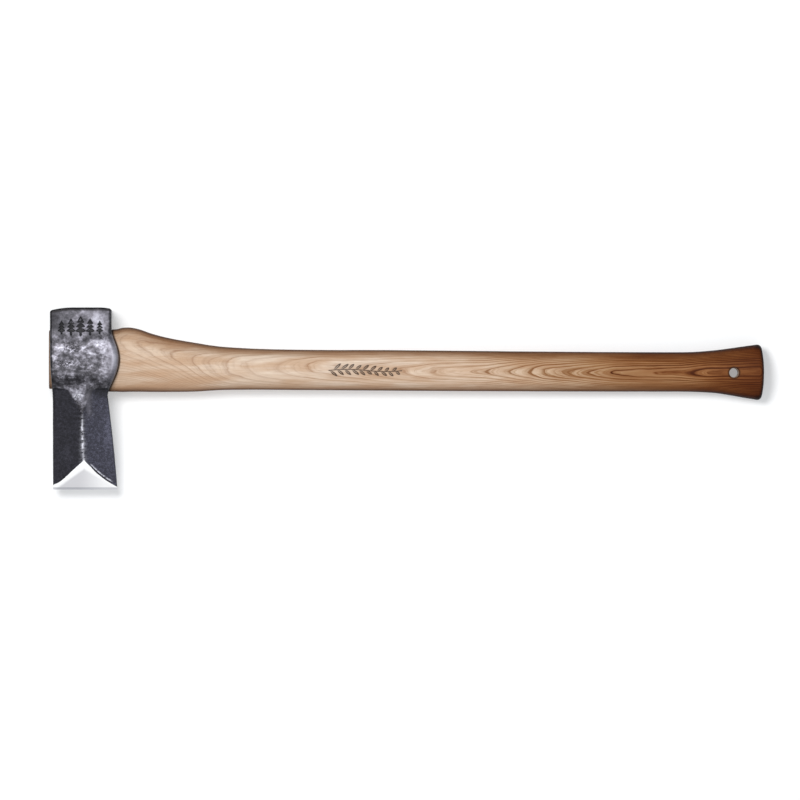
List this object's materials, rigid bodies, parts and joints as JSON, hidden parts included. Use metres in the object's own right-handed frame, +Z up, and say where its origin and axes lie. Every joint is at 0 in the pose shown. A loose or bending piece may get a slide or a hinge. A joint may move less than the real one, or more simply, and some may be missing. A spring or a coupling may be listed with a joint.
{
  "type": "splitting maul",
  "caption": "Splitting maul: a wedge-shaped forged head with a hammer poll, wedged onto a long oval wooden handle with a flared butt and a hang hole.",
  "frame": {"origin": "centre of the bounding box, on the flat surface that the maul lies on", "axes": "+X along the handle, from the head to the butt; +Y from the cutting edge to the poll; +Z up, away from the surface"},
  "size_m": [0.7664, 0.195, 0.0571],
  "materials": {
    "head": "dark forge scale, with bright ground cheeks and a polished bevel",
    "handle": "oiled hickory, stained darker towards the butt",
    "wooden_wedge": "hardwood, trimmed flush",
    "ring_wedge": "bare steel"
  },
  "bodies": {
    "root": {"head": "head", "handle": "handle", "wooden_wedge": "wooden_wedge", "ring_wedge": "ring_wedge"}
  },
  "joints": []
}
